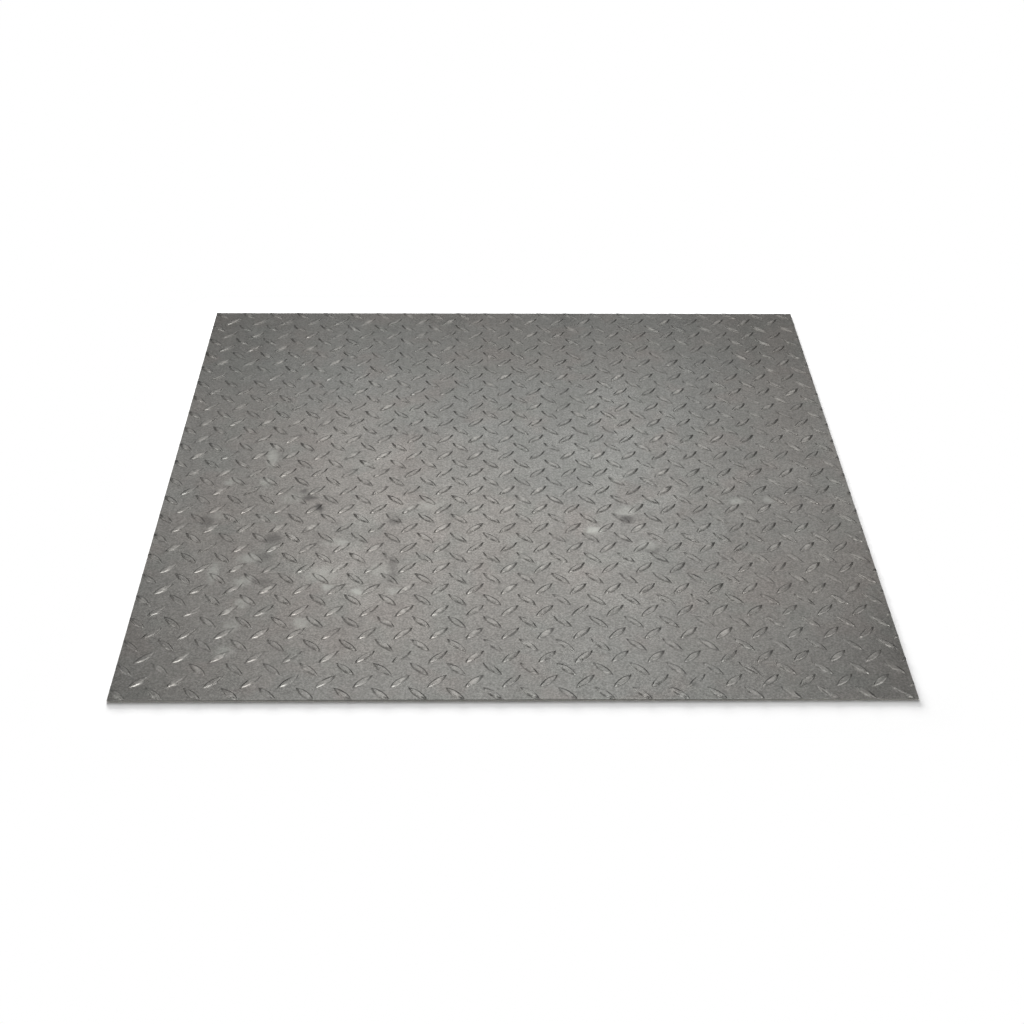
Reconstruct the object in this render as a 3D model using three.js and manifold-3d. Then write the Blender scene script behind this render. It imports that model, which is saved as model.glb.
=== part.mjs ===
// Checker steel plate: one square sheet of hot-rolled steel with a raised four-way lug pattern.
// Millimetres, +Z up. The origin is the centre of the flat underside, and the lugs face up.

import * as THREE from 'three';
import { ConvexGeometry } from 'three/addons/geometries/ConvexGeometry.js';
import { mergeVertices } from 'three/addons/utils/BufferGeometryUtils.js';
import Module from 'manifold-3d';

// The sheared sheet.
const SHEET_WIDTH = 914.4; // along X, 36 in
const SHEET_DEPTH = 914.4; // along Y, 36 in
const BASE_THICKNESS = 3.175; // 1/8 in, under the lugs

// One lug: a slim lens with pointed tips, rolled up out of the sheet.
const LUG_LENGTH = 32; // tip to tip
const LUG_WIDTH = 9; // across its middle
const LUG_HEIGHT = 1.6; // above the base
const LUG_CREST_LENGTH = 14; // level part of its crest, before it falls to the tips

// The pattern: rising lugs lean to the right going back, falling lugs stand square to them.
const LUG_PITCH_ACROSS = 42.35; // between lugs of one direction, along X, across the rolls
const LUG_PITCH_ALONG = 42.7; // the same along Y, the way the sheet ran through the rolls
const LUG_TURN = THREE.MathUtils.degToRad(45); // from X to the length of a rising lug
const FIRST_LUG_FROM_LEFT = 30.4; // left edge to the first column of rising lugs
const FIRST_LUG_FROM_FRONT = 30.6; // front edge to the first row of rising lugs
const SHORTEST_CUT_TIP = 0.5; // a lug that reaches into the sheet by less is left off

const STEEL_COLOUR = 0x8c8982;
const STEEL_ROUGHNESS = 0.45;
const STEEL_METALNESS = 0.9;

const wasm = await Module();
wasm.setup();

// A closed three.js geometry as a solid for joining and cutting.
function toSolid(geometry) {
  const bare = geometry.clone();
  bare.deleteAttribute('normal');
  bare.deleteAttribute('uv');
  const merged = mergeVertices(bare);
  const mesh = new wasm.Mesh({
    numProp: 3,
    vertProperties: new Float32Array(merged.attributes.position.array),
    triVerts: new Uint32Array(merged.index.array),
  });
  return new wasm.Manifold(mesh);
}

// A finished solid back as a three.js geometry.
function toGeometry(solid) {
  const mesh = solid.getMesh();
  const geometry = new THREE.BufferGeometry();
  geometry.setAttribute('position', new THREE.BufferAttribute(mesh.vertProperties, 3));
  geometry.setIndex(new THREE.BufferAttribute(mesh.triVerts, 1));
  geometry.computeVertexNormals();
  return geometry;
}

// A block as wide and deep as the sheet, standing on the underside.
function sheetBlock(height) {
  const block = new THREE.BoxGeometry(SHEET_WIDTH, SHEET_DEPTH, height);
  return block.translate(0, 0, height / 2);
}

// One lug along X, centred on the origin. Its rim lies on the sheet's upper face, and a root of the
// same outline reaches down through half of the base so that it joins the sheet.
function lugGeometry() {
  const rootDepth = BASE_THICKNESS / 2;
  const rim = [
    new THREE.Vector3(LUG_LENGTH / 2, 0, BASE_THICKNESS),
    new THREE.Vector3(0, LUG_WIDTH / 2, BASE_THICKNESS),
    new THREE.Vector3(-LUG_LENGTH / 2, 0, BASE_THICKNESS),
    new THREE.Vector3(0, -LUG_WIDTH / 2, BASE_THICKNESS),
  ];
  const root = rim.map((point) => point.clone().setZ(BASE_THICKNESS - rootDepth));
  const crest = [
    new THREE.Vector3(-LUG_CREST_LENGTH / 2, 0, BASE_THICKNESS + LUG_HEIGHT),
    new THREE.Vector3(LUG_CREST_LENGTH / 2, 0, BASE_THICKNESS + LUG_HEIGHT),
  ];
  return new ConvexGeometry([...root, ...rim, ...crest]);
}

// The places of one family of lugs along one edge, measured from the sheet's middle: every pitch
// from `first`, as far as a lug of the given half reach still lies over the sheet.
function placesAlong(size, first, pitch, reach) {
  const shortestReach = reach - SHORTEST_CUT_TIP;
  const from = Math.ceil((-shortestReach - first) / pitch);
  const to = Math.floor((size + shortestReach - first) / pitch);
  const places = [];
  for (let step = from; step <= to; step += 1) {
    places.push(first + step * pitch - size / 2);
  }
  return places;
}

// Every lug of one direction, whole or cut by an edge.
function lugFamily(turn, firstX, firstY) {
  const reachX = (Math.abs(Math.cos(turn)) * LUG_LENGTH) / 2;
  const reachY = (Math.abs(Math.sin(turn)) * LUG_LENGTH) / 2;
  const turned = lugGeometry().rotateZ(turn);
  const lugs = [];
  for (const x of placesAlong(SHEET_WIDTH, firstX, LUG_PITCH_ACROSS, reachX)) {
    for (const y of placesAlong(SHEET_DEPTH, firstY, LUG_PITCH_ALONG, reachY)) {
      lugs.push(toSolid(turned.clone().translate(x, y, 0)));
    }
  }
  return lugs;
}

// The base with all its lugs, sheared square at the sheet's edges.
function checkerPlateGeometry() {
  const rising = lugFamily(LUG_TURN, FIRST_LUG_FROM_LEFT, FIRST_LUG_FROM_FRONT);
  const falling = lugFamily(
    LUG_TURN + Math.PI / 2,
    FIRST_LUG_FROM_LEFT - LUG_PITCH_ACROSS / 2,
    FIRST_LUG_FROM_FRONT - LUG_PITCH_ALONG / 2,
  );
  const base = toSolid(sheetBlock(BASE_THICKNESS));
  const rolled = [...rising, ...falling].reduce((body, lug) => body.add(lug), base);
  const sheared = rolled.intersect(toSolid(sheetBlock(BASE_THICKNESS + 2 * LUG_HEIGHT)));
  return toGeometry(sheared);
}

const steel = new THREE.MeshStandardMaterial({
  color: STEEL_COLOUR,
  roughness: STEEL_ROUGHNESS,
  metalness: STEEL_METALNESS,
});

const plate = new THREE.Mesh(checkerPlateGeometry(), steel);
plate.name = 'checker_plate';

const object = new THREE.Group();
object.add(plate);

export default object;
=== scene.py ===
import math

import bmesh
import bpy
import numpy as np
from bpy.props import FloatProperty, FloatVectorProperty, PointerProperty
from mathutils import Matrix, Vector
from mathutils.geometry import delaunay_2d_cdt


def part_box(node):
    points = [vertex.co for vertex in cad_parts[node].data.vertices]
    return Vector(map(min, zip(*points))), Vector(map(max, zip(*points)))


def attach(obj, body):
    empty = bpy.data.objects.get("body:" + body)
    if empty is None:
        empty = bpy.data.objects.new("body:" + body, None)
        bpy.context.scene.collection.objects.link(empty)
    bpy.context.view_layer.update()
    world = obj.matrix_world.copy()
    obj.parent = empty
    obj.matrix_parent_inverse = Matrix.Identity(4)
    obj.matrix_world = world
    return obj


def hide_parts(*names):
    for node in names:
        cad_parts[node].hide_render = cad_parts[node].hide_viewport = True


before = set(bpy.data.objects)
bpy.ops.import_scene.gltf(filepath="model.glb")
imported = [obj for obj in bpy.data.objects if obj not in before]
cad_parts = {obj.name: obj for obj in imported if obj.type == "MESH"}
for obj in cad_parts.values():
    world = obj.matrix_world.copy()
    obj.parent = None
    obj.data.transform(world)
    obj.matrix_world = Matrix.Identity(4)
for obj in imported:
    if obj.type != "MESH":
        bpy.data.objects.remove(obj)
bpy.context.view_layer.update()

bl_info = {
    "name": "Checker steel plate",
    "version": (1, 0, 0),
    "blender": (4, 5, 0),
    "location": "View3D > Sidebar > Floor plate",
    "description": "Hot-rolled steel floor plate with a raised four-way lug pattern, on a pale studio floor",
    "category": "Add Mesh",
}

CAD_NODE = "checker_plate"
PLATE_LOW, PLATE_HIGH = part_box(CAD_NODE)
PLATE_SIZE = PLATE_HIGH - PLATE_LOW

MM = 0.001
ARC_STEPS = 12  # pieces along each of a lug's two long arcs
ARRIS_STEPS = 2  # pieces round the soft edge that shearing leaves
SAME_PLACE = 1e-7  # points closer than this, in metres, count as one
RIM_SLACK = 1.01  # of the arris: a point of the rim lies within this of the sheet's side
UPRIGHT = 0.02  # a face whose normal climbs less than this is part of the sheared edge
MEETS_FLAT = 0.35 * MM  # how far a lug's root runs out past its outline
LEAN = 45  # degrees between a lug and the sheet's edges
LUG_FAMILIES = ((LEAN, 0), (180 - LEAN, 0.5))  # each direction's turn, and its shift in pitches
LEFT_AT_EDGE = 0.12  # of a lug's height, where the blade cut through it
RINGS = (0.0, 0.33, 0.66, 1.0)  # of a lug, from its root to its shoulder, in flank widths
WEAR_SEED = 11
WEAR_WAVES = (1, 2, 3)  # waves round a lug
WEAR_BOUNDS = (0.65, 1.6)  # the narrowest and widest a worn flank gets, in flank widths

MAP_NAME = "OFBake"  # the name of the sheet's flat map
TOP_SHARE = 0.76  # of the map's side, for the rolled face
UNDER_SHARE = 0.2  # and for the underside
STRIP_WIDTH = 0.035  # and for each sheared face
STRIP_LENGTH = 0.72
MAP_MARGIN = 0.01
FACES_THAT_WAY = 0.5  # a sheared face whose normal has this much of a direction faces that way


def linear(hex_colour):
    """An sRGB hex colour such as "#8C8982" as linear RGB."""
    channels = [int(hex_colour[i : i + 2], 16) / 255 for i in (1, 3, 5)]
    return tuple(c / 12.92 if c <= 0.04045 else ((c + 0.055) / 1.055) ** 2.4 for c in channels)


def length_property(name, description, default_mm):
    """A size, given in millimetres and kept in metres."""
    return FloatProperty(
        name=name, description=description, default=default_mm * MM, unit="LENGTH", subtype="DISTANCE"
    )


def colour_property(name, description, hex_colour):
    """A colour, given as sRGB hex and kept linear."""
    return FloatVectorProperty(
        name=name, description=description, default=linear(hex_colour), subtype="COLOR", min=0, max=1
    )


class PlateSizes(bpy.types.PropertyGroup):
    """Sizes of the rolled pattern and the sheared edge. The sheet's own size comes from the CAD part in
    model.glb.
    """

    lug_length: length_property("Lug length", "Tip to tip along one lug", 32)
    lug_width: length_property("Lug width", "Across the middle of one lug", 9)
    lug_height: length_property("Lug height", "Crest above the flat of the sheet", 1.6)
    flank_width: length_property("Flank width", "From a lug's foot up to its shoulder", 2.6)
    crown_radius: length_property("Crown radius", "Roundness of a lug's top", 100)
    wear: FloatProperty(
        name="Wear", description="How unevenly the roll's pockets are worn", default=0.26, min=0, max=1
    )
    pitch_across: length_property("Pitch across", "Between lugs of one direction, along X", 42.35)
    pitch_along: length_property("Pitch along", "Between lugs of one direction, along Y", 42.7)
    first_from_left: length_property("First column", "Left edge to the first rising lugs", 30.4)
    first_from_front: length_property("First row", "Front edge to the first rising lugs", 30.6)
    shortest_tip: length_property("Shortest cut tip", "A lug reaching in by less is left off", 0.5)
    arris: length_property("Arris", "Soft edge drawn down by the shear blade", 0.35)
    draw_down: length_property("Draw-down", "Reach from the edge in which the blade lowers cut lugs", 4.5)
    burr: length_property("Lower arris", "Small bevel round the underside", 0.2)


class SteelLook(bpy.types.PropertyGroup):
    """Colours of the steel."""

    grey: colour_property("Mill grey", "Main colour of the rolled surface", "#85827E")
    cool_grey: colour_property("Cool grey", "Cooler clouds of the rolled surface", "#82827F")
    warm_grey: colour_property("Warm grey", "Small brownish blotches", "#85807C")
    green_grey: colour_property("Green grey", "Small greenish blotches", "#80817D")
    # Lug crests painted light: partly steel rubbed clean by handling, partly a painted highlight.
    rubbed: colour_property("Rubbed steel", "Lug crests where handling has cleaned them", "#CBC8C2")
    # Dark line at each lug's foot: painted shade in the crease, with some oil and dust.
    grime: colour_property("Grime", "Oil and dust held at the foot of the lugs", "#4C4A47")
    smear: colour_property("Smear", "Dry wipe marks that catch the light", "#B9BAB4")
    smudge: colour_property("Smudge", "Oily finger and glove marks", "#454342")
    cut: colour_property("Cut steel", "Smooth upper part of the sheared edge", "#8E8D88")
    # Rough lower edge steel, made paler as a painted reflection of the bright floor in front.
    broken: colour_property("Broken steel", "Rough, paler lower part of the sheared edge", "#CFCDC8")


def light_property(name, description, radiance):
    """A level of light, where white is 1."""
    return FloatProperty(name=name, description=description, default=radiance, min=0)


def angle_property(name, description, degrees):
    """An angle, given in degrees and kept in radians."""
    return FloatProperty(
        name=name, description=description, default=math.radians(degrees), unit="ROTATION", subtype="ANGLE"
    )


class StageLook(bpy.types.PropertyGroup):
    """Floor, lamps and camera."""

    floor_colour: colour_property("Floor", "Colour of the pale floor", "#FFFFFF")
    lamps: light_property("Lamps", "Brightness of all the softboxes together, 1 being as set up", 1)
    paper_lamps: light_property("Paper lamps", "Brightness of the lamps that light the paper alone", 1)
    sky: light_property("Sky", "Brightness of the even light all round, white being 1", 0.21)
    lens: FloatProperty(
        name="Lens", description="Focal length on a 36 mm sensor", default=55.93, unit="CAMERA"
    )
    camera_place: FloatVectorProperty(
        name="Camera place",
        description="Where the camera stands",
        default=(-0.0369, -1.7972, 1.2072),
        unit="LENGTH",
        subtype="TRANSLATION",
    )
    camera_down: angle_property("Camera down", "How far the camera looks below level", 35.216)
    camera_turn: angle_property("Camera turn", "How far the camera turns left of the Y axis", -1.334)
    camera_roll: angle_property("Camera roll", "How far the camera leans about its own line of sight", 0.724)


# The sheet


def lens_rings(sizes, inset):
    """Every lug's outline moved in by `inset`: points in plan and their outward directions.

    The outline is two arcs that meet in points. A ring runs along the upper arc from the left point
    to the right one and back along the lower arc. At a point the outward direction is shorter,
    because the crest there falls more gently than the flanks.
    """
    half_length = sizes.lug_length / 2
    half_width = sizes.lug_width / 2
    radius = (half_length**2 + half_width**2) / (2 * half_width)
    centre = radius - half_width
    ring_radius = radius - inset
    point_angle = np.arccos(centre / ring_radius)
    angles = point_angle * np.tile(np.linspace(-1, 1, ARC_STEPS + 1)[:-1], 2)
    side = np.repeat((1, -1), ARC_STEPS)
    outward = side[:, None] * np.stack([np.sin(angles), np.cos(angles)], axis=2)
    points = ring_radius[..., None] * outward
    points[..., 1] -= side * centre
    outward[:, (0, ARC_STEPS), 1] = 0
    return points, outward


def lug_section(sizes, inset, flank):
    """Height and slope of a lug at a distance in from its outline: a round crown on a smooth flank."""
    from_axis = sizes.lug_width / 2 - inset
    crown = sizes.lug_height - from_axis**2 / (2 * sizes.crown_radius)
    crown_slope = from_axis / sizes.crown_radius
    climb = np.clip((inset + MEETS_FLAT) / flank, 0, 1)
    step = climb * climb * (3 - 2 * climb)
    step_slope = 6 * climb * (1 - climb) / flank
    return crown * step, crown_slope * step + crown * step_slope


def worn_flanks(count, sizes):
    """Width of each lug's flank at each point round it, in slow waves as a worn roll leaves them."""
    draw = np.random.default_rng(WEAR_SEED)
    around = np.linspace(0, 2 * math.pi, 2 * ARC_STEPS, endpoint=False)
    waves = np.zeros((count, 2 * ARC_STEPS))
    for turns in WEAR_WAVES:
        swing = draw.normal(0, 1 / turns, (count, 1))
        start = draw.uniform(0, 2 * math.pi, (count, 1))
        waves += swing * np.cos(turns * around + start)
    return sizes.flank_width * np.clip(1 + sizes.wear * waves, *WEAR_BOUNDS)


def lug_shapes(count, sizes, base):
    """Points and normals of lugs along X: each one's rings from the foot up, then its highest point."""
    flank = worn_flanks(count, sizes)
    points, normals = [], []
    for share in RINGS:
        inset = share * flank - MEETS_FLAT
        plan, outward = lens_rings(sizes, inset)
        height, slope = lug_section(sizes, inset, flank)
        points.append(np.concatenate([plan, base + height[..., None]], axis=2))
        normals.append(np.concatenate([outward * slope[..., None], np.ones((*slope.shape, 1))], axis=2))
    points.append(np.tile((0, 0, base + sizes.lug_height), (count, 1, 1)))
    normals.append(np.tile((0.0, 0.0, 1.0), (count, 1, 1)))
    points, normals = np.concatenate(points, axis=1), np.concatenate(normals, axis=1)
    return points, normals / np.linalg.norm(normals, axis=2, keepdims=True)


def lug_faces():
    """The faces of one lug, by the template's point numbers."""
    around = 2 * ARC_STEPS
    faces = []
    for ring in range(len(RINGS) - 1):
        for here in range(around):
            ahead = (here + 1) % around
            low, high = ring * around, (ring + 1) * around
            faces.append((low + ahead, low + here, high + here, high + ahead))
    top = len(RINGS) * around
    last = top - around
    for here in range(around):
        faces.append((last + (here + 1) % around, last + here, top))
    return faces


def places_along(size, first, pitch, past_edge):
    """A row of lug centres, a pitch apart, from `past_edge` outside one edge to as far past the other.

    `first` is measured from the edge, and the places are measured from the sheet's middle.
    """
    start = math.ceil((-past_edge - first) / pitch)
    stop = math.floor((size + past_edge - first) / pitch)
    return [first + step * pitch - size / 2 for step in range(start, stop + 1)]


def lug_places(sizes):
    """(x, y, turn) of every lug: rising ones on the first lattice, falling ones half a pitch off."""
    past_edge = sizes.lug_length / 2 * math.cos(math.radians(LEAN)) - sizes.shortest_tip
    places = []
    for turn, shift in LUG_FAMILIES:
        first_x = sizes.first_from_left - shift * sizes.pitch_across
        first_y = sizes.first_from_front - shift * sizes.pitch_along
        for x in places_along(PLATE_SIZE.x, first_x, sizes.pitch_across, past_edge):
            for y in places_along(PLATE_SIZE.y, first_y, sizes.pitch_along, past_edge):
                places.append((x, y, math.radians(turn)))
    return places


def place_lugs(sizes, base):
    """All lugs as one array of points and one of normals, lug after lug."""
    places = lug_places(sizes)
    points, normals = lug_shapes(len(places), sizes, base)
    for lug, (x, y, turn) in enumerate(places):
        spin = np.array(Matrix.Rotation(turn, 3, "Z"))
        points[lug] = points[lug] @ spin.T + (x, y, 0)
        normals[lug] = normals[lug] @ spin.T
    return draw_down(points, normals, sizes, base)


def draw_down(points, normals, sizes, base):
    """Lowers the lugs towards the sheet's edges, where the blade pressed them down as it cut."""
    height = points[..., 2] - base
    slope = -normals[..., :2] / normals[..., 2:]
    for axis in (0, 1):
        half = PLATE_SIZE[axis] / 2
        from_edge = half - np.abs(points[..., axis])
        share = np.clip(from_edge / sizes.draw_down, 0, 1)
        kept = LEFT_AT_EDGE + (1 - LEFT_AT_EDGE) * share * (2 - share)
        falls = -np.sign(points[..., axis]) * (1 - LEFT_AT_EDGE) * (2 - 2 * share) / sizes.draw_down
        falls[share <= 0] = 0
        slope *= kept[..., None]
        slope[..., axis] += height * falls
        height = height * kept
    lowered = np.concatenate([points[..., :2], height[..., None] + base], axis=2)
    upward = np.concatenate([-slope, np.ones_like(height)[..., None]], axis=2)
    return lowered, upward / np.linalg.norm(upward, axis=2, keepdims=True)


def flat_between(lugs, sizes, base):
    """Corner points past the sheet's edges, and the flat faces between them and the lugs' feet."""
    around = 2 * ARC_STEPS
    per_lug = lugs.shape[1]
    margin = sizes.lug_length
    reach_x, reach_y = PLATE_SIZE.x / 2 + margin, PLATE_SIZE.y / 2 + margin
    corners = [(-reach_x, -reach_y), (reach_x, -reach_y), (reach_x, reach_y), (-reach_x, reach_y)]
    plan = [Vector(corner) for corner in corners]
    numbers = [lugs.shape[0] * per_lug + k for k in range(4)]
    loops = [range(4)]
    for lug, points in enumerate(lugs):
        start = len(plan)
        plan += [Vector(point[:2]) for point in points[:around]]
        numbers += range(lug * per_lug, lug * per_lug + around)
        loops.append(range(start, start + around))
    triangles_without_holes = 2
    _, _, faces, origins, _, _ = delaunay_2d_cdt(plan, [], loops, triangles_without_holes, SAME_PLACE)
    flat = [tuple(numbers[origins[corner][0]] for corner in face) for face in faces]
    return [(x, y, base) for x, y in corners], flat


def top_mesh(sizes, base):
    """The lugs and the flat between them, running past the sheet's edges, with smooth normals."""
    lugs, normals = place_lugs(sizes, base)
    corners, faces = flat_between(lugs, sizes, base)
    per_lug = lugs.shape[1]
    template = np.arange(lugs.shape[0])[:, None] * per_lug
    for face in lug_faces():
        faces += [tuple(row) for row in (template + face).tolist()]
    points = np.concatenate([lugs.reshape(-1, 3), corners])
    up = np.tile((0.0, 0.0, 1.0), (len(corners), 1))
    mesh = bpy.data.meshes.new("checker_plate_top")
    mesh.from_pydata(points.tolist(), [], faces)
    held = mesh.attributes.new("rolled_normal", "FLOAT_VECTOR", "POINT")
    held.data.foreach_set("vector", np.concatenate([normals.reshape(-1, 3), up]).ravel())
    return mesh


def shear(bm, sizes):
    """Cuts the sheet to size, short of the arris that the rim then adds."""
    for axis, half in ((Vector((1, 0, 0)), PLATE_SIZE.x / 2), (Vector((0, 1, 0)), PLATE_SIZE.y / 2)):
        for side in (-1, 1):
            bmesh.ops.bisect_plane(
                bm,
                geom=bm.verts[:] + bm.edges[:] + bm.faces[:],
                dist=SAME_PLACE,
                plane_co=axis * side * (half - sizes.arris),
                plane_no=axis * side,
                clear_outer=True,
            )


def outward_at(point, sizes):
    """Which way is out of the sheet at a point on its rim, as whole steps along X and Y."""
    slack = sizes.arris * RIM_SLACK
    over_x = abs(point.x) > PLATE_SIZE.x / 2 - slack
    over_y = abs(point.y) > PLATE_SIZE.y / 2 - slack
    return Vector((math.copysign(over_x, point.x), math.copysign(over_y, point.y), 0))


def grow_rim(bm, edges):
    """A new ring of faces out of the rim's edges, still of no width. Returns its edges and points."""
    grown = bmesh.ops.extrude_edge_only(bm, edges=edges)["geom"]
    new_edges = [part for part in grown if isinstance(part, bmesh.types.BMEdge)]
    new_points = [part for part in grown if isinstance(part, bmesh.types.BMVert)]
    return new_edges, new_points


def close_edges(bm, sizes):
    """The rounded arris, the sheared faces, the lower bevel and the plain underside."""
    held = bm.verts.layers.float_vector["rolled_normal"]
    rim = [edge for edge in bm.edges if edge.is_boundary]
    done_out, done_down = 0.0, 0.0
    for step in range(1, ARRIS_STEPS + 1):
        angle = math.radians(90) * step / ARRIS_STEPS
        out = sizes.arris * math.sin(angle)
        down = sizes.arris * (1 - math.cos(angle))
        rim, points = grow_rim(bm, rim)
        for point in points:
            outward = outward_at(point.co, sizes)
            point.co += outward * (out - done_out) - Vector((0, 0, down - done_down))
            turned = point[held].lerp(outward.normalized(), step / ARRIS_STEPS)
            point[held] = turned.normalized()
        done_out, done_down = out, down
    rim, points = grow_rim(bm, rim)
    for point in points:
        point.co.z = sizes.burr
    rim, points = grow_rim(bm, rim)
    for point in points:
        point.co -= outward_at(point.co, sizes) * sizes.burr
        point.co.z = 0
        point[held] = (0, 0, -1)
    bmesh.ops.holes_fill(bm, edges=rim, sides=0)
    bmesh.ops.recalc_face_normals(bm, faces=bm.faces)


def set_normals(mesh):
    """Gives the rolled surface its true normals, and the sheared faces flat ones."""
    face_count, corner_count = len(mesh.polygons), len(mesh.loops)
    mesh.polygons.foreach_set("use_smooth", np.ones(face_count, bool))
    rolled = np.empty(len(mesh.vertices) * 3, np.float32)
    mesh.attributes["rolled_normal"].data.foreach_get("vector", rolled)
    vertex_of = np.empty(corner_count, np.int32)
    mesh.loops.foreach_get("vertex_index", vertex_of)
    normals = rolled.reshape(-1, 3)[vertex_of]
    sizes_of = np.empty(face_count, np.int32)
    mesh.polygons.foreach_get("loop_total", sizes_of)
    face_normals = np.empty(face_count * 3, np.float32)
    mesh.polygons.foreach_get("normal", face_normals)
    of_face = np.repeat(face_normals.reshape(-1, 3), sizes_of, axis=0)
    sheared = np.abs(of_face[:, 2]) < UPRIGHT
    normals[sheared] = of_face[sheared]
    upright = np.abs(face_normals[2::3]) < UPRIGHT
    mesh.polygons.foreach_set("material_index", upright.astype(np.int32))
    mesh.attributes.remove(mesh.attributes["rolled_normal"])
    mesh.normals_split_custom_set(normals.tolist())


def islands(size):
    """(way it faces, way that is right on the map, way that is up, left, bottom, scale) of each island.

    The map gives the rolled face most of its room. The underside is drawn smaller beside it, and each
    sheared face is a strip, drawn thicker than it is so that its marks keep their detail.
    """
    x, y, z = Vector((1, 0, 0)), Vector((0, 1, 0)), Vector((0, 0, 1))
    yield z, x, y, MAP_MARGIN, MAP_MARGIN, (TOP_SHARE / size.x, TOP_SHARE / size.y)
    beside = TOP_SHARE + 2 * MAP_MARGIN
    yield -z, x, y, beside, MAP_MARGIN, (UNDER_SHARE / size.x, UNDER_SHARE / size.y)
    above = UNDER_SHARE + 2 * MAP_MARGIN
    for step, (outward, along) in enumerate(((-y, x), (x, y), (y, x), (-x, y))):
        left = beside + step * (STRIP_WIDTH + MAP_MARGIN)
        yield outward, z, along, left, above, (STRIP_WIDTH / size.z, STRIP_LENGTH / size.x)


def lay_out_map(mesh):
    """A flat map of the whole sheet, so that textures made from its materials come out even."""
    corner_count, face_count = len(mesh.loops), len(mesh.polygons)
    vertex_of = np.empty(corner_count, np.int32)
    mesh.loops.foreach_get("vertex_index", vertex_of)
    points = np.empty(len(mesh.vertices) * 3, np.float32)
    mesh.vertices.foreach_get("co", points)
    corners = points.reshape(-1, 3)[vertex_of] - np.array(PLATE_LOW, np.float32)
    face_normals = np.empty(face_count * 3, np.float32)
    mesh.polygons.foreach_get("normal", face_normals)
    sizes_of = np.empty(face_count, np.int32)
    mesh.polygons.foreach_get("loop_total", sizes_of)
    facing = np.repeat(face_normals.reshape(-1, 3), sizes_of, axis=0)
    upright = np.abs(facing[:, 2]) < UPRIGHT
    flat = np.zeros((corner_count, 2), np.float32)
    for outward, right, up, left, bottom, (scale_right, scale_up) in islands(PLATE_SIZE):
        sheared = outward.z == 0
        here = facing @ np.array(outward, np.float32) > (FACES_THAT_WAY if sheared else 0)
        here &= upright if sheared else ~upright
        flat[here, 0] = left + scale_right * (corners[here] @ np.array(right, np.float32))
        flat[here, 1] = bottom + scale_up * (corners[here] @ np.array(up, np.float32))
    mesh.uv_layers.new(name=MAP_NAME).data.foreach_set("uv", flat.ravel())


# Materials

CLOUD_SPACING = 380 * MM  # broad warm and cool clouds
CLOUD_DRIFT = (35, 0, 0)  # moves the clouds so that the middle and the front come out warm
CLOUD_EDGES = (0.38, 0.62)  # where in the noise a cloud starts to turn cool and where it is cool
BLOTCH_SPACING = 60 * MM  # smaller tinted blotches
BLOTCH_EDGES = (0.5, 0.68)
BLOTCH_TINT = 0.45  # how far a blotch goes to its tint
WARM_DRIFT = (3, 0, 0)  # keeps the two kinds of blotch apart
GREEN_DRIFT = (0, 7, 0)
STREAK_WIDTH = 5 * MM  # faint streaks along the rolling direction
STREAK_LENGTH = 260 * MM
STREAK_SWING = 0.04  # how much lighter and darker the streaks make the steel
GRAIN_SIZE = 2.4 * MM  # really about 0.2 mm, drawn coarser so that it shows
GRAIN_SWING = 0.3
NOISE_LOW, NOISE_HIGH = 0.3, 0.7  # nearly all of a noise lies between these
SATIN_SPACING = 60 * MM  # patches of duller and glossier steel
GLOSSIEST, DULLEST = 0.24, 0.32  # roughness of clean steel in such patches
DRY_SMEAR_ROUGHER = 0.1  # how much rougher each mark leaves the steel
RUBBED_ROUGHER = 0.15
GRIME_ROUGHER = 0.2
WAVE_SPACING = 45 * MM  # slight waves of the rolled sheet
WAVE_DEPTH = 0.03 * MM
TOOTH_SIZE = 2.2 * MM  # pickled tooth, really about 0.1 mm, drawn coarser so that it shows
TOOTH_DEPTH = 0.012 * MM
TOOTH_DRIFT = (11, 0, 0)  # keeps the tooth and the dents from following the waves
DENT_SPACING = 4.5 * MM  # uneven filling of the roll's pockets, on the lugs alone
DENT_DEPTH = 0.12 * MM
DENT_DRIFT = (23, 0, 0)
ALL_ON_LUG = 0.4  # of a lug's height, from where the dents have their full depth
RUBBED_SHARES = (0.65, 0.35)  # how bright each direction's crowns are painted: partly rubbed wear, partly a painted highlight that differs with the lug's direction
RUBBED_LENGTH = 22 * MM  # the bright patch on a lug's crown: partly rubbed by feet and other plates, partly a painted highlight
RUBBED_WIDTH = 13 * MM
RUBBED_CORE = 0.2  # of the patch, at full strength
RUBBED_CLIMB = (0.15, 0.6)  # of a lug's height, where the bright patch starts and where it is in full
# From a lug's own draw of 0 to 1: up to the first its crown has no bright patch, and the second keeps all
# short of full.
RUBBED_LUCK = (0.2, 1.1)
SCUFF_SPACING = 5 * MM  # uneven breakup within the bright crown patch
SCUFF_EDGES = (0.36, 0.6)
SCUFF_LEAST = 0.2
GRIME_SPACING = 20 * MM
GRIME_CLIMB = (0.15, 0.6)  # of a lug's height, up to where the dark line at the foot is in full and where it ends
OFF_THE_FLAT = (0.005, 0.05)  # of a lug's height, where the flat ends and the lug's foot starts
GRIME_EDGES = (0.35, 0.65)
GRIME_MOST = 0.45
SPOT_CORE = 0.25  # of a soft spot's reach, in which it has its full strength
SMEAR_RAGGED = 12 * MM  # how fine the wavering outline of a smear is
SMEAR_WAVER = 11 * MM  # and how far it wavers
SMEAR_STREAK = 8 * MM  # streaks that the wipe left
SMEAR_EDGES = (0.35, 0.6)
SMEAR_LEAST = 0.5
SMEAR_CLIMB = 0.6  # of a lug's height, from where a lug caught the wipe in full
SMEAR_ON_FLAT = 0.85  # of a smear's strength on the lugs
SHEAR_MARK = 0.9 * MM  # marks up the sheared edge, really finer, drawn coarser so that they show
SHEAR_MARK_LENGTH = 9 * MM
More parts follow.
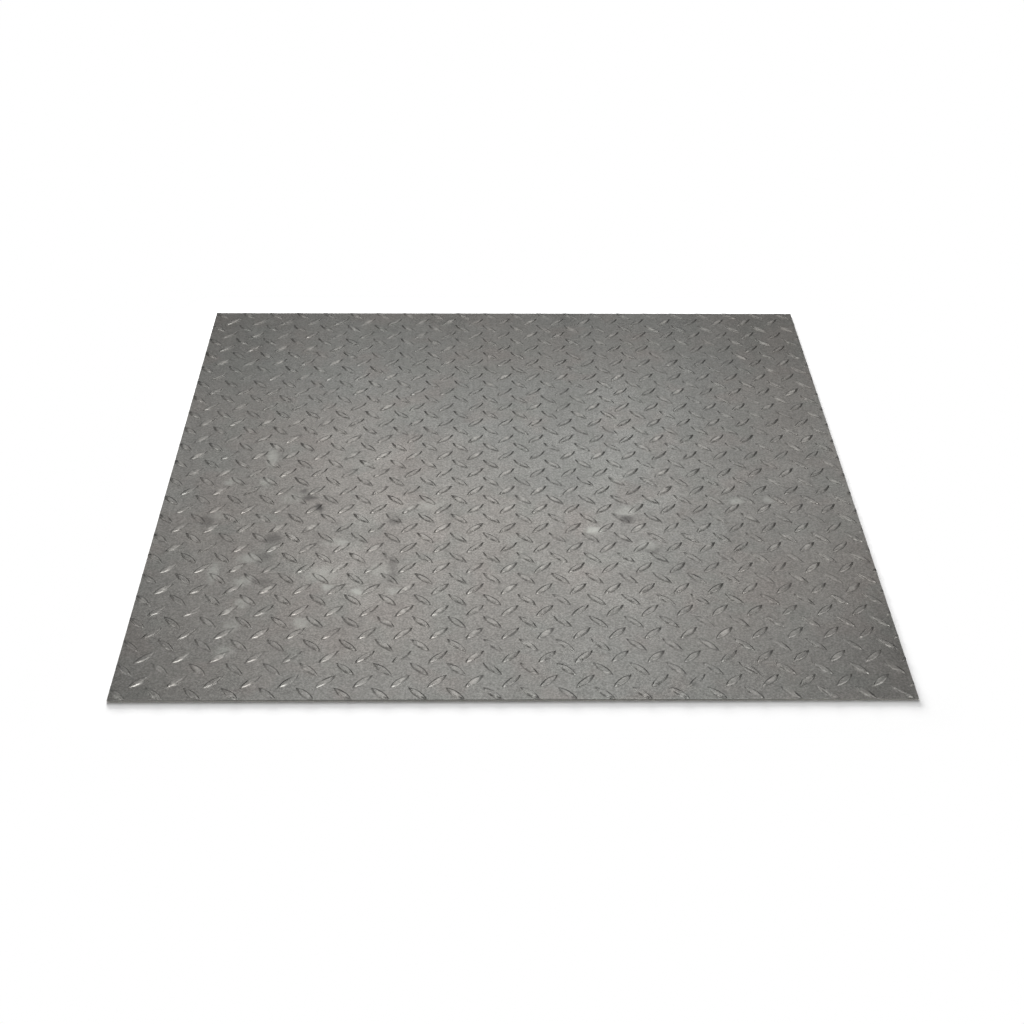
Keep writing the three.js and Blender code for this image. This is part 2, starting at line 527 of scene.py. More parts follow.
SHEAR_MARK_DEPTH = 0.03 * MM
SHEAR_MARK_SHADES = (0.8, 1.15)  # the darkest and the lightest that the marks make the edge
SHEAR_RAGGED = 0.7 * MM
BREAK_HEIGHT = 1.6 * MM  # up to here the steel broke away, and above it was cut
BREAK_ROUGHNESS, CUT_ROUGHNESS = 0.6, 0.32

# Soft spots that handling left: x, y, reach along X and along Y in millimetres, and strength.
SMEARS = (
    (-320, 45, 11, 32, 0.6),
    (-369, -14, 15, 15, 0.5),
    (-322, -17, 10, 12, 0.45),
    (-375, -94, 18, 12, 0.35),
    (-281, -55, 24, 18, 0.3),
    (-324, -187, 20, 14, 0.5),
    (-365, -218, 10, 30, 0.5),
    (-326, -235, 18, 14, 0.55),
    (-322, -278, 14, 12, 0.5),
    (-330, -320, 14, 16, 0.35),
    (-247, -316, 16, 14, 0.4),
    (-331, -368, 16, 14, 0.4),
    (-229, -221, 28, 24, 0.45),
    (-221, -247, 12, 10, 0.6),
    (-183, -255, 14, 10, 0.7),
    (-139, -253, 14, 10, 0.5),
    (-101, -71, 22, 18, 0.4),
    (-159, -211, 17, 22, 0.35),
    (-216, -154, 24, 12, 0.45),
    (158, -85, 18, 14, 0.6),
    (114, -128, 16, 12, 0.8),
    (180, -161, 18, 14, 0.5),
    (307, -62, 14, 12, 0.6),
    (349, -58, 14, 10, 0.45),
)
SMUDGES = (
    (-299, -145, 20, 16, 0.5),
    (-387, -105, 16, 20, 0.4),
    (-260, -55, 15, 9, 0.7),
    (-245, -75, 9, 13, 0.8),
    (-268, -38, 9, 9, 0.5),
    (-308, -183, 20, 12, 0.35),
    (-300, -235, 18, 12, 0.35),
    (-145, -105, 12, 16, 0.45),
    (-143, -209, 10, 36, 0.35),
    (158, -103, 13, 14, 0.6),
    (184, -169, 16, 14, 0.4),
)


def add_node(tree, kind, inputs=None, **settings):
    """Adds a node with its settings. `inputs` gives a socket a value, or the output that feeds it."""
    node = tree.nodes.new(kind)
    for name, value in settings.items():
        setattr(node, name, value)
    for socket, value in (inputs or {}).items():
        if isinstance(value, bpy.types.NodeSocket):
            tree.links.new(value, node.inputs[socket])
        else:
            node.inputs[socket].default_value = value
    return node


def new_material(name):
    """An empty node material."""
    material = bpy.data.materials.new(name)
    material.use_nodes = True
    material.node_tree.nodes.clear()
    return material


def clouded_grey(tree, place, look):
    """Colour of the clean rolled surface: warm and cool clouds, blotches, rolling streaks and grain."""
    drifted = add_node(tree, "ShaderNodeVectorMath", {0: place, 1: CLOUD_DRIFT}, operation="ADD")
    clouds = add_node(
        tree,
        "ShaderNodeTexNoise",
        {
            "Vector": drifted.outputs["Vector"],
            "Scale": 1 / CLOUD_SPACING,
            "Detail": 3,
            "Roughness": 0.55,
        },
    )
    cloudiness = add_node(
        tree,
        "ShaderNodeMapRange",
        {"Value": clouds.outputs["Fac"], "From Min": CLOUD_EDGES[0], "From Max": CLOUD_EDGES[1]},
    )
    broad = add_node(
        tree,
        "ShaderNodeMix",
        {"Factor": cloudiness.outputs["Result"], "A": (*look.grey, 1), "B": (*look.cool_grey, 1)},
        data_type="RGBA",
    )
    colour = broad.outputs["Result"]
    for tint, drift in ((look.warm_grey, WARM_DRIFT), (look.green_grey, GREEN_DRIFT)):
        moved = add_node(tree, "ShaderNodeVectorMath", {0: place, 1: drift}, operation="ADD")
        blotches = add_node(
            tree,
            "ShaderNodeTexNoise",
            {
                "Vector": moved.outputs["Vector"],
                "Scale": 1 / BLOTCH_SPACING,
                "Detail": 2,
                "Roughness": 0.45,
                "Distortion": 0.4,
            },
        )
        share = add_node(
            tree,
            "ShaderNodeMapRange",
            {
                "Value": blotches.outputs["Fac"],
                "From Min": BLOTCH_EDGES[0],
                "From Max": BLOTCH_EDGES[1],
                "To Max": BLOTCH_TINT,
            },
            interpolation_type="SMOOTHSTEP",
        )
        blotched = add_node(
            tree,
            "ShaderNodeMix",
            {"Factor": share.outputs["Result"], "A": colour, "B": (*tint, 1)},
            data_type="RGBA",
        )
        colour = blotched.outputs["Result"]
    along_roll = add_node(
        tree,
        "ShaderNodeVectorMath",
        {0: place, 1: (1 / STREAK_WIDTH, 1 / STREAK_LENGTH, 0)},
        operation="MULTIPLY",
    )
    streaks = add_node(
        tree, "ShaderNodeTexNoise", {"Vector": along_roll.outputs["Vector"], "Scale": 1, "Detail": 2}
    )
    grain = add_node(
        tree,
        "ShaderNodeTexNoise",
        {"Vector": place, "Scale": 1 / GRAIN_SIZE, "Detail": 2, "Roughness": 0.6},
    )
    for noise, swing in ((streaks, STREAK_SWING), (grain, GRAIN_SWING)):
        shade = add_node(
            tree,
            "ShaderNodeMapRange",
            {
                "Value": noise.outputs["Fac"],
                "From Min": NOISE_LOW,
                "From Max": NOISE_HIGH,
                "To Min": 1 - swing,
                "To Max": 1 + swing,
            },
        )
        colour = add_node(
            tree,
            "ShaderNodeVectorMath",
            {0: colour, "Scale": shade.outputs["Result"]},
            operation="SCALE",
        ).outputs["Vector"]
    return colour


def rubbed_crowns(tree, place, climb, sizes):
    """How far each lug's crown is painted bright: a soft patch on its middle, more on some lugs. It is
    partly wear where handling rubbed the crest clean and partly a painted highlight, stronger on one
    direction of lug.
    """
    patches = 0.0
    for (turn, shift), most in zip(LUG_FAMILIES, RUBBED_SHARES):
        first_x = (PLATE_LOW.x + sizes.first_from_left) / sizes.pitch_across - shift
        first_y = (PLATE_LOW.y + sizes.first_from_front) / sizes.pitch_along - shift
        in_pitches = add_node(
            tree,
            "ShaderNodeVectorMath",
            {
                0: place,
                1: (1 / sizes.pitch_across, 1 / sizes.pitch_along, 0),
                2: (0.5 - first_x, 0.5 - first_y, 0),
            },
            operation="MULTIPLY_ADD",
        ).outputs["Vector"]
        lug = add_node(tree, "ShaderNodeVectorMath", {0: in_pitches}, operation="FLOOR")
        chance = add_node(
            tree, "ShaderNodeTexWhiteNoise", {"Vector": lug.outputs["Vector"]}, noise_dimensions="3D"
        )
        within = add_node(tree, "ShaderNodeVectorMath", {0: in_pitches}, operation="FRACTION")
        turned = add_node(
            tree,
            "ShaderNodeVectorRotate",
            {"Vector": within.outputs["Vector"], "Center": (0.5, 0.5, 0), "Angle": -math.radians(turn)},
            rotation_type="Z_AXIS",
        )
        long, wide = RUBBED_LENGTH / sizes.pitch_across / 2, RUBBED_WIDTH / sizes.pitch_across / 2
        oval = add_node(
            tree,
            "ShaderNodeVectorMath",
            {0: turned.outputs["Vector"], 1: (1 / long, 1 / wide, 0), 2: (-0.5 / long, -0.5 / wide, 0)},
            operation="MULTIPLY_ADD",
        )
        away = add_node(tree, "ShaderNodeVectorMath", {0: oval.outputs["Vector"]}, operation="LENGTH")
        patch = add_node(
            tree,
            "ShaderNodeMapRange",
            {"Value": away.outputs["Value"], "From Min": 1, "From Max": RUBBED_CORE},
            interpolation_type="SMOOTHSTEP",
        )
        luck = add_node(
            tree,
            "ShaderNodeMapRange",
            {
                "Value": chance.outputs["Value"],
                "From Min": RUBBED_LUCK[0],
                "From Max": RUBBED_LUCK[1],
                "To Max": most,
            },
            interpolation_type="SMOOTHSTEP",
        )
        share = add_node(
            tree,
            "ShaderNodeMath",
            {0: patch.outputs["Result"], 1: luck.outputs["Result"]},
            operation="MULTIPLY",
        )
        patches = add_node(
            tree, "ShaderNodeMath", {0: patches, 1: share.outputs["Value"]}, operation="MAXIMUM"
        ).outputs["Value"]
    on_crown = add_node(
        tree,
        "ShaderNodeMapRange",
        {"Value": climb, "From Min": RUBBED_CLIMB[0], "From Max": RUBBED_CLIMB[1]},
        interpolation_type="SMOOTHSTEP",
    )
    scuffs = add_node(
        tree, "ShaderNodeTexNoise", {"Vector": place, "Scale": 1 / SCUFF_SPACING, "Detail": 2}
    )
    scuffed = add_node(
        tree,
        "ShaderNodeMapRange",
        {
            "Value": scuffs.outputs["Fac"],
            "From Min": SCUFF_EDGES[0],
            "From Max": SCUFF_EDGES[1],
            "To Min": SCUFF_LEAST,
        },
    )
    rubbed = on_crown.outputs["Result"]
    for share in (patches, scuffed.outputs["Result"]):
        rubbed = add_node(
            tree, "ShaderNodeMath", {0: rubbed, 1: share}, operation="MULTIPLY"
        ).outputs["Value"]
    return rubbed


def foot_grime(tree, place, climb):
    """Darkening where a lug's flank meets the flat, patchy from lug to lug: painted shade in the crease,
    with some oil and dust held there.
    """
    low = add_node(
        tree,
        "ShaderNodeMapRange",
        {"Value": climb, "From Min": GRIME_CLIMB[1], "From Max": GRIME_CLIMB[0]},
        interpolation_type="SMOOTHSTEP",
    )
    off_the_flat = add_node(
        tree,
        "ShaderNodeMapRange",
        {"Value": climb, "From Min": OFF_THE_FLAT[0], "From Max": OFF_THE_FLAT[1]},
    )
    held = add_node(
        tree,
        "ShaderNodeMath",
        {0: low.outputs["Result"], 1: off_the_flat.outputs["Result"]},
        operation="MULTIPLY",
    )
    patches = add_node(
        tree, "ShaderNodeTexNoise", {"Vector": place, "Scale": 1 / GRIME_SPACING, "Detail": 1}
    )
    patchy = add_node(
        tree,
        "ShaderNodeMapRange",
        {
            "Value": patches.outputs["Fac"],
            "From Min": GRIME_EDGES[0],
            "From Max": GRIME_EDGES[1],
            "To Max": GRIME_MOST,
        },
    )
    grime = add_node(
        tree,
        "ShaderNodeMath",
        {0: held.outputs["Value"], 1: patchy.outputs["Result"]},
        operation="MULTIPLY",
    )
    return grime.outputs["Value"]


def soft_spots(tree, ragged, spots):
    """One mask from soft oval spots: x, y, reach along X and along Y in millimetres, and strength."""
    mask = 0.0
    for x, y, reach_x, reach_y, strength in spots:
        oval = add_node(
            tree,
            "ShaderNodeVectorMath",
            {
                0: ragged,
                1: (1 / (reach_x * MM), 1 / (reach_y * MM), 0),
                2: (-x / reach_x, -y / reach_y, 0),
            },
            operation="MULTIPLY_ADD",
        )
        away = add_node(tree, "ShaderNodeVectorMath", {0: oval.outputs["Vector"]}, operation="LENGTH")
        spot = add_node(
            tree,
            "ShaderNodeMapRange",
            {"Value": away.outputs["Value"], "From Min": 1, "From Max": SPOT_CORE, "To Max": strength},
            interpolation_type="SMOOTHSTEP",
        )
        mask = add_node(
            tree, "ShaderNodeMath", {0: mask, 1: spot.outputs["Result"]}, operation="MAXIMUM"
        ).outputs["Value"]
    return mask


def wiped_thin(tree, place, climb, smears):
    """Smears as a wipe leaves them: streaky and thin on the flat, fuller on the lugs that it caught."""
    streaks = add_node(
        tree, "ShaderNodeTexNoise", {"Vector": place, "Scale": 1 / SMEAR_STREAK, "Detail": 3}
    )
    streaky = add_node(
        tree,
        "ShaderNodeMapRange",
        {
            "Value": streaks.outputs["Fac"],
            "From Min": SMEAR_EDGES[0],
            "From Max": SMEAR_EDGES[1],
            "To Min": SMEAR_LEAST,
        },
    )
    caught = add_node(
        tree, "ShaderNodeMapRange", {"Value": climb, "From Max": SMEAR_CLIMB, "To Min": SMEAR_ON_FLAT}
    )
    for share in (streaky, caught):
        smears = add_node(
            tree, "ShaderNodeMath", {0: smears, 1: share.outputs["Result"]}, operation="MULTIPLY"
        ).outputs["Value"]
    return smears


def mill_steel(look, sizes):
    """Hot-rolled mild steel, pickled and oiled.

    Rolled between a plain and an engraved roll and then cleaned of scale: a satin warm grey with cloudy
    tints, lug crests painted bright as rubbed wear with a painted highlight, a dark line painted at their
    feet as painted crease shade with oil and dust, and dry smears from handling.
    """
    material = new_material("Hot-rolled mild steel, pickled and oiled")
    tree = material.node_tree
    place = add_node(tree, "ShaderNodeTexCoord").outputs["Object"]
    up = add_node(tree, "ShaderNodeSeparateXYZ", {"Vector": place}).outputs["Z"]
    base = PLATE_SIZE.z - sizes.lug_height
    climb = add_node(
        tree, "ShaderNodeMapRange", {"Value": up, "From Min": base, "From Max": PLATE_SIZE.z}
    ).outputs["Result"]
    waver = add_node(
        tree, "ShaderNodeTexNoise", {"Vector": place, "Scale": 1 / SMEAR_RAGGED, "Detail": 2}
    )
    ragged = add_node(
        tree,
        "ShaderNodeVectorMath",
        {0: waver.outputs["Color"], 1: (SMEAR_WAVER,) * 3, 2: place},
        operation="MULTIPLY_ADD",
    ).outputs["Vector"]
    smears = wiped_thin(tree, place, climb, soft_spots(tree, ragged, SMEARS))
    smudges = soft_spots(tree, ragged, SMUDGES)
    # The bright crown patch: rubbed wear and a painted highlight.
    rubbed = rubbed_crowns(tree, place, climb, sizes)
    # The dark line at the lugs' feet: painted crease shade with oil and dust.
    grime = foot_grime(tree, place, climb)
    on_top = add_node(
        tree, "ShaderNodeMapRange", {"Value": up, "From Min": base / 2, "From Max": base * 3 / 4}
    ).outputs["Result"]
    colour = clouded_grey(tree, place, look)
    for share, tint in (
        (smudges, look.smudge),
        (smears, look.smear),
        (rubbed, look.rubbed),
        (grime, look.grime),
    ):
        above = add_node(tree, "ShaderNodeMath", {0: share, 1: on_top}, operation="MULTIPLY")
        colour = add_node(
            tree,
            "ShaderNodeMix",
            {"Factor": above.outputs["Value"], "A": colour, "B": (*tint, 1)},
            data_type="RGBA",
        ).outputs["Result"]
    satin = add_node(
        tree, "ShaderNodeTexNoise", {"Vector": place, "Scale": 1 / SATIN_SPACING, "Detail": 2}
    )
    roughness = add_node(
        tree,
        "ShaderNodeMapRange",
        {
            "Value": satin.outputs["Fac"],
            "From Min": NOISE_LOW,
            "From Max": NOISE_HIGH,
            "To Min": GLOSSIEST,
            "To Max": DULLEST,
        },
    ).outputs["Result"]
    marks = ((smears, DRY_SMEAR_ROUGHER), (rubbed, RUBBED_ROUGHER), (grime, GRIME_ROUGHER))
    for share, rougher in marks:
        roughness = add_node(
            tree, "ShaderNodeMath", {0: share, 1: rougher, 2: roughness}, operation="MULTIPLY_ADD"
        ).outputs["Value"]
    shader = add_node(
        tree,
        "ShaderNodeBsdfPrincipled",
        {
            "Base Color": colour,
            "Metallic": 1.0,
            "Roughness": roughness,
            "Normal": rolled_relief(tree, place, climb),
        },
    )
    add_node(tree, "ShaderNodeOutputMaterial", {"Surface": shader.outputs["BSDF"]})
    return material


def rolled_relief(tree, place, climb):
    """A bump: slight waves of the sheet, fine tooth that pickling leaves, and dents on the lugs."""
    on_lug = add_node(
        tree, "ShaderNodeMapRange", {"Value": climb, "From Max": ALL_ON_LUG, "To Max": DENT_DEPTH}
    ).outputs["Result"]
    height = 0.0
    layers = (
        (WAVE_SPACING, WAVE_DEPTH, (0, 0, 0)),
        (TOOTH_SIZE, TOOTH_DEPTH, TOOTH_DRIFT),
        (DENT_SPACING, on_lug, DENT_DRIFT),
    )
    for spacing, depth, drift in layers:
        moved = add_node(tree, "ShaderNodeVectorMath", {0: place, 1: drift}, operation="ADD")
        noise = add_node(
            tree,
            "ShaderNodeTexNoise",
            {"Vector": moved.outputs["Vector"], "Scale": 1 / spacing, "Detail": 2, "Roughness": 0.5},
        )
        centred = add_node(
            tree, "ShaderNodeMath", {0: noise.outputs["Fac"], 1: 0.5}, operation="SUBTRACT"
        )
        height = add_node(
            tree,
            "ShaderNodeMath",
            {0: centred.outputs["Value"], 1: depth, 2: height},
            operation="MULTIPLY_ADD",
        ).outputs["Value"]
    bump = add_node(tree, "ShaderNodeBump", {"Height": height, "Distance": 1.0, "Strength": 1.0})
    return bump.outputs["Normal"]


def sheared_steel(look):
    """Sheared edge of mild steel.

    The blade cuts the upper part of the thickness smooth, so that it mirrors what lies in front of it.
    The rest breaks away rough and looks paler and matt; its colour is made paler still as a painted
    reflection of the bright floor in front. Fine marks run up the edge across both.
    """
    material = new_material("Sheared mild steel")
    tree = material.node_tree
    place = add_node(tree, "ShaderNodeTexCoord").outputs["Object"]
    marks_place = add_node(
        tree,
        "ShaderNodeVectorMath",
        {0: place, 1: (1 / SHEAR_MARK, 1 / SHEAR_MARK, 1 / SHEAR_MARK_LENGTH)},
        operation="MULTIPLY",
    )
    marks = add_node(
        tree, "ShaderNodeTexNoise", {"Vector": marks_place.outputs["Vector"], "Scale": 1, "Detail": 3}
    )
    up = add_node(tree, "ShaderNodeSeparateXYZ", {"Vector": place}).outputs["Z"]
    ragged_up = add_node(
        tree,
        "ShaderNodeMath",
        {0: marks.outputs["Fac"], 1: SHEAR_RAGGED, 2: up},
        operation="MULTIPLY_ADD",
    )
    burnished = add_node(
        tree,
        "ShaderNodeMapRange",
        {
            "Value": ragged_up.outputs["Value"],
            "From Min": BREAK_HEIGHT,
            "From Max": BREAK_HEIGHT + SHEAR_RAGGED,
        },
    ).outputs["Result"]
    # Paler broken steel below, partly a painted reflection of the floor, and smooth cut steel above.
    tint = add_node(
        tree,
        "ShaderNodeMix",
        {"Factor": burnished, "A": (*look.broken, 1), "B": (*look.cut, 1)},
        data_type="RGBA",
    )
    shade = add_node(
        tree,
        "ShaderNodeMapRange",
        {
            "Value": marks.outputs["Fac"],
            "From Min": NOISE_LOW,
            "From Max": NOISE_HIGH,
            "To Min": SHEAR_MARK_SHADES[0],
            "To Max": SHEAR_MARK_SHADES[1],
        },
    )
    shaded = add_node(
        tree,
        "ShaderNodeVectorMath",
        {0: tint.outputs["Result"], "Scale": shade.outputs["Result"]},
        operation="SCALE",
    )
    roughness = add_node(
        tree,
        "ShaderNodeMapRange",
        {"Value": burnished, "To Min": BREAK_ROUGHNESS, "To Max": CUT_ROUGHNESS},
    )
    depth = add_node(
        tree, "ShaderNodeMath", {0: marks.outputs["Fac"], 1: SHEAR_MARK_DEPTH}, operation="MULTIPLY"
    )
    bump = add_node(tree, "ShaderNodeBump", {"Height": depth.outputs["Value"], "Distance": 1.0})
    shader = add_node(
        tree,
        "ShaderNodeBsdfPrincipled",
        {
            "Base Color": shaded.outputs["Vector"],
            "Metallic": 1.0,
            "Roughness": roughness.outputs["Result"],
            "Normal": bump.outputs["Normal"],
        },
    )
    add_node(tree, "ShaderNodeOutputMaterial", {"Surface": shader.outputs["BSDF"]})
    return material


# Stage

FLOOR_REACH = 8.0  # metres from the middle, past the edge of the view
FLOOR_GAP = 0.1 * MM
SHADOW_START = 20 * MM  # past the plate's edge, where the paper starts to show plain white
SHADOW_END = 60 * MM
HORIZON_WHITE = math.sin(math.radians(2.5))  # up to here the sky shows the paper's white
HORIZON_FADES = math.sin(math.radians(4))  # and from here on its own grey
SENSOR_WIDTH_MM = 36
WATTS_FOR_WHITE = 4  # a square metre of lamp with this much shows as white in a mirror

# Each softbox: name, brightness as a mirror would show it, place, and width and height in metres.
SOFTBOXES = (
    ("overhead_softbox", 1.25, (0, 1.2, 2.6), (1.8, 1.4)),
    ("overhead_left_softbox", 0.72, (-1.6, 0.9, 2.4), (1.1, 1.3)),
    ("high_left_softbox", 1.4, (-1.8, 0.33, 1.6), (0.75, 0.7)),
    ("high_right_softbox", 0.35, (1.8, 0.33, 1.6), (0.75, 0.7)),
    ("overhead_right_softbox", 0.52, (1.6, 0.9, 2.4), (1.3, 1.5)),
    ("back_softbox", 1.11, (0, 2.6, 1.93), (1.1, 1.0)),
    ("back_left_softbox", 0.68, (-0.85, 2.5, 1.87), (0.9, 1.0)),
    ("back_right_softbox", 0.74, (0.88, 2.5, 1.87), (0.95, 1.0)),
    ("high_front_right_softbox", 3.2, (0.95, -0.9, 2.5), (1.0, 1.0)),
    ("front_right_softbox", 3.4, (0.45, -1.35, 1.5), (0.9, 0.75)),
    ("high_front_left_softbox", 1.2, (-0.95, -0.9, 2.5), (1.0, 1.0)),
    ("front_left_softbox", 1.9, (-1.4, -1.4, 1.95), (0.9, 0.9)),
    ("left_softbox", 1.4, (-2.6, -0.9, 1.2), (1.1, 1.0)),
    ("right_softbox", 0.8, (2.7, 0, 1.1), (1.2, 1.0)),
    ("near_right_softbox", 2.0, (2.3, -0.9, 1.7), (1.0, 0.9)),
    ("low_front_left_softbox", 0.7, (-0.65, -2.3, 1.3), (1.4, 0.8)),
    ("low_left_softbox", 0.4, (-2.6, 1.1, 0.8), (1.6, 0.7)),
)

# The background's own lamps. They light the paper alone, and the plate still casts its shadow there.
PAPER_SOFTBOXES = (
    ("high_paper_softbox", 2.9, (-0.6, 3.2, 5.2), (3.2, 3.2)),
    ("middle_paper_softbox", 6.2, (-0.8, 6.0, 4.2), (3.2, 3.2)),
    ("low_paper_softbox", 29, (-1.8, 6.2, 1.6), (4.8, 1.6)),
)


def add_floor(context, look):
    """One large sheet of paper, just below the plate."""
    mesh = bpy.data.meshes.new("studio_floor")
    half = FLOOR_REACH
    corners = [(-half, -half, 0), (half, -half, 0), (half, half, 0), (-half, half, 0)]
    mesh.from_pydata(corners, [], [range(4)])
    floor = bpy.data.objects.new("studio_floor", mesh)
    floor.location.z = -FLOOR_GAP
    context.collection.objects.link(floor)
    mesh.materials.append(seamless_paper(look))
    return floor


def seen_or_mirrored(tree):
    """1 for rays from the camera and for reflected or refracted ones, 0 for those that light things."""
    ray = add_node(tree, "ShaderNodeLightPath").outputs
    seen = ray["Is Camera Ray"]
    for other in ("Is Glossy Ray", "Is Transmission Ray"):
        seen = add_node(
            tree, "ShaderNodeMath", {0: seen, 1: ray[other]}, operation="MAXIMUM"
        ).outputs["Value"]
    return seen


def seamless_paper(look):
    """White seamless background paper.

    Matt and even. Close to the plate it is lit like anything else and holds the plate's shadow. Farther
    out it shows white to the camera and in reflections, as paper lit by background lamps of its own does.
    """
    material = new_material("White seamless paper")
    tree = material.node_tree
    place = add_node(tree, "ShaderNodeTexCoord").outputs["Object"]
    either_side = add_node(tree, "ShaderNodeVectorMath", {0: place}, operation="ABSOLUTE")
    past_plate = add_node(
        tree,
        "ShaderNodeVectorMath",
        {0: either_side.outputs["Vector"], 1: PLATE_SIZE / 2},
        operation="SUBTRACT",
    )
    outside = add_node(
        tree,
        "ShaderNodeVectorMath",
        {0: past_plate.outputs["Vector"], 1: (0, 0, 0)},
        operation="MAXIMUM",
    )
    away = add_node(tree, "ShaderNodeVectorMath", {0: outside.outputs["Vector"]}, operation="LENGTH")
    far = add_node(
        tree,
        "ShaderNodeMapRange",
        {"Value": away.outputs["Value"], "From Min": SHADOW_START, "From Max": SHADOW_END},
        interpolation_type="SMOOTHSTEP",
    )
    seen = seen_or_mirrored(tree)
    share = add_node(
        tree, "ShaderNodeMath", {0: far.outputs["Result"], 1: seen}, operation="MULTIPLY"
    )
    paper = add_node(tree, "ShaderNodeBsdfDiffuse", {"Color": (*look.floor_colour, 1)})
    white = add_node(tree, "ShaderNodeEmission", {"Color": (1, 1, 1, 1), "Strength": 1.0})
    both = add_node(
        tree,
        "ShaderNodeMixShader",
        {0: share.outputs["Value"], 1: paper.outputs["BSDF"], 2: white.outputs["Emission"]},
    )
    add_node(tree, "ShaderNodeOutputMaterial", {"Surface": both.outputs["Shader"]})
    return material


def add_softbox(context, name, brightness, place, size):
    """A rectangular softbox that faces the middle of the plate."""
    data = bpy.data.lights.new(name, "AREA")
    data.shape = "RECTANGLE"
    data.size, data.size_y = size
    data.energy = WATTS_FOR_WHITE * brightness * data.size * data.size_y
    lamp = bpy.data.objects.new(name, data)
    lamp.location = place
    lamp.rotation_euler = (-lamp.location).to_track_quat("-Z", "Y").to_euler()
    lamp.visible_camera = False
    context.collection.objects.link(lamp)
    return lamp


def add_lamps(context, look, floor):
    """The plate's lamps and the paper's own, each kept off the other so that both stay at their level."""
    sets = (
        ("all_but_paper", "EXCLUDE", SOFTBOXES, look.lamps),
        ("paper_alone", "INCLUDE", PAPER_SOFTBOXES, look.paper_lamps),
    )
    for group_name, state, softboxes, level in sets:
        lit = bpy.data.collections.new(group_name)
        lit.objects.link(floor)
        lit.collection_objects[0].light_linking.link_state = state
        for name, brightness, place, size in softboxes:
            lamp = add_softbox(context, name, brightness * level, place, size)
            lamp.light_linking.receiver_collection = lit


def add_sky(context, look):
    """An even grey sky, which just above the horizon carries on the paper's white."""
    world = bpy.data.worlds.new("even_sky")
    world.use_nodes = True
    tree = world.node_tree
    tree.nodes.clear()
    direction = add_node(tree, "ShaderNodeTexCoord").outputs["Generated"]
    height = add_node(tree, "ShaderNodeSeparateXYZ", {"Vector": direction}).outputs["Z"]
    low = add_node(
        tree,
        "ShaderNodeMapRange",
        {"Value": height, "From Min": HORIZON_FADES, "From Max": HORIZON_WHITE},
        interpolation_type="SMOOTHSTEP",
    )
    seen = seen_or_mirrored(tree)
    share = add_node(tree, "ShaderNodeMath", {0: low.outputs["Result"], 1: seen}, operation="MULTIPLY")
    strength = add_node(
        tree, "ShaderNodeMapRange", {"Value": share.outputs["Value"], "To Min": look.sky, "To Max": 1}
    )
    sky = add_node(
        tree, "ShaderNodeBackground", {"Color": (1, 1, 1, 1), "Strength": strength.outputs["Result"]}
    )
    add_node(tree, "ShaderNodeOutputWorld", {"Surface": sky.outputs["Background"]})
    context.scene.world = world


def add_camera(context, look):
    """The camera, without depth of field or shift."""
    data = bpy.data.cameras.new("camera")
    data.lens = look.lens
    data.sensor_width = SENSOR_WIDTH_MM
    camera = bpy.data.objects.new("camera", data)
    turn = Matrix.Rotation(look.camera_turn, 4, "Z")
    tilt = Matrix.Rotation(math.radians(90) - look.camera_down, 4, "X")
    roll = Matrix.Rotation(look.camera_roll, 4, "Z")
    camera.matrix_world = Matrix.Translation(look.camera_place) @ turn @ tilt @ roll
    context.collection.objects.link(camera)
    context.scene.camera = camera


# The add-on


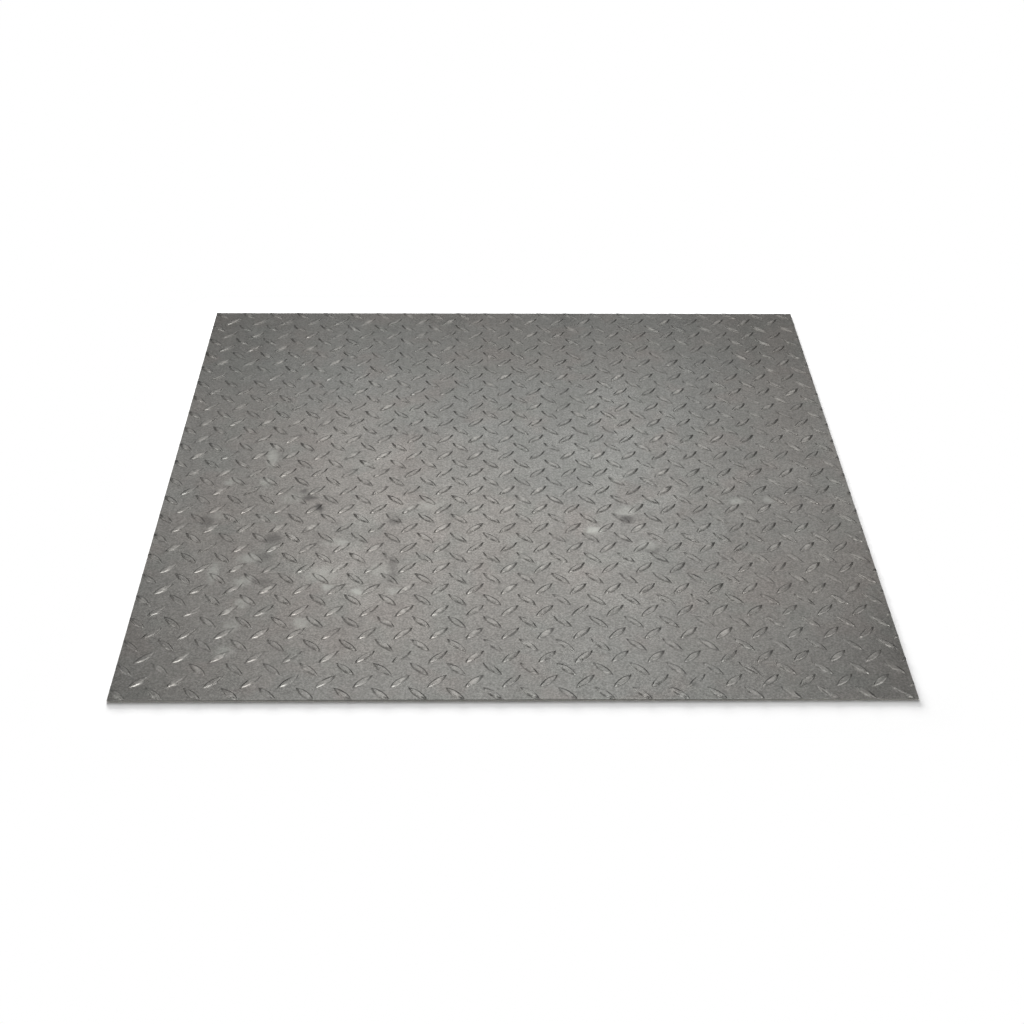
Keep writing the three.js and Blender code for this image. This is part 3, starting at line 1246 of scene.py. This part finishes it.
class AddCheckerPlate(bpy.types.Operator):
    """Add the rolled and sheared floor plate with its steel finish"""

    bl_idname = "mesh.checker_plate_add"
    bl_label = "Add checker plate"

    def execute(self, context):
        sizes = context.scene.plate_sizes
        base = PLATE_SIZE.z - sizes.lug_height
        mesh = top_mesh(sizes, base)
        bm = bmesh.new()
        bm.from_mesh(mesh)
        shear(bm, sizes)
        close_edges(bm, sizes)
        bm.to_mesh(mesh)
        bm.free()
        set_normals(mesh)
        lay_out_map(mesh)
        mesh.name = "rolled_plate"
        plate = bpy.data.objects.new("rolled_plate", mesh)
        context.collection.objects.link(plate)
        look = context.scene.steel_look
        mesh.materials.append(mill_steel(look, sizes))
        mesh.materials.append(sheared_steel(look))
        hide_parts(CAD_NODE)
        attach(plate, "root")
        return {"FINISHED"}


class AddStudio(bpy.types.Operator):
    """Add the pale floor, the soft lamps, the sky and the camera"""

    bl_idname = "scene.plate_studio_add"
    bl_label = "Add studio"

    def execute(self, context):
        look = context.scene.stage_look
        floor = add_floor(context, look)
        add_lamps(context, look, floor)
        add_sky(context, look)
        add_camera(context, look)
        context.scene.view_settings.view_transform = "Standard"
        return {"FINISHED"}


class PlatePanel(bpy.types.Panel):
    """Sizes, colours and steps of the floor plate"""

    bl_label = "Floor plate"
    bl_idname = "VIEW3D_PT_floor_plate"
    bl_space_type = "VIEW_3D"
    bl_region_type = "UI"
    bl_category = "Floor plate"

    def draw(self, context):
        layout = self.layout
        for group in (context.scene.plate_sizes, context.scene.steel_look, context.scene.stage_look):
            box = layout.box()
            for name in group.__annotations__:
                box.prop(group, name)
        for operator in OPERATORS:
            layout.operator(operator.bl_idname)


GROUPS = (PlateSizes, SteelLook, StageLook)
OPERATORS = (AddCheckerPlate, AddStudio)


def register():
    for cls in (*GROUPS, *OPERATORS, PlatePanel):
        bpy.utils.register_class(cls)
    bpy.types.Scene.plate_sizes = PointerProperty(type=PlateSizes)
    bpy.types.Scene.steel_look = PointerProperty(type=SteelLook)
    bpy.types.Scene.stage_look = PointerProperty(type=StageLook)


def unregister():
    del bpy.types.Scene.stage_look
    del bpy.types.Scene.steel_look
    del bpy.types.Scene.plate_sizes
    for cls in reversed((*GROUPS, *OPERATORS, PlatePanel)):
        bpy.utils.unregister_class(cls)


def main():
    """Makes the plate and the studio."""
    register()
    bpy.ops.mesh.checker_plate_add()
    bpy.ops.scene.plate_studio_add()


if __name__ == "__main__":
    main()
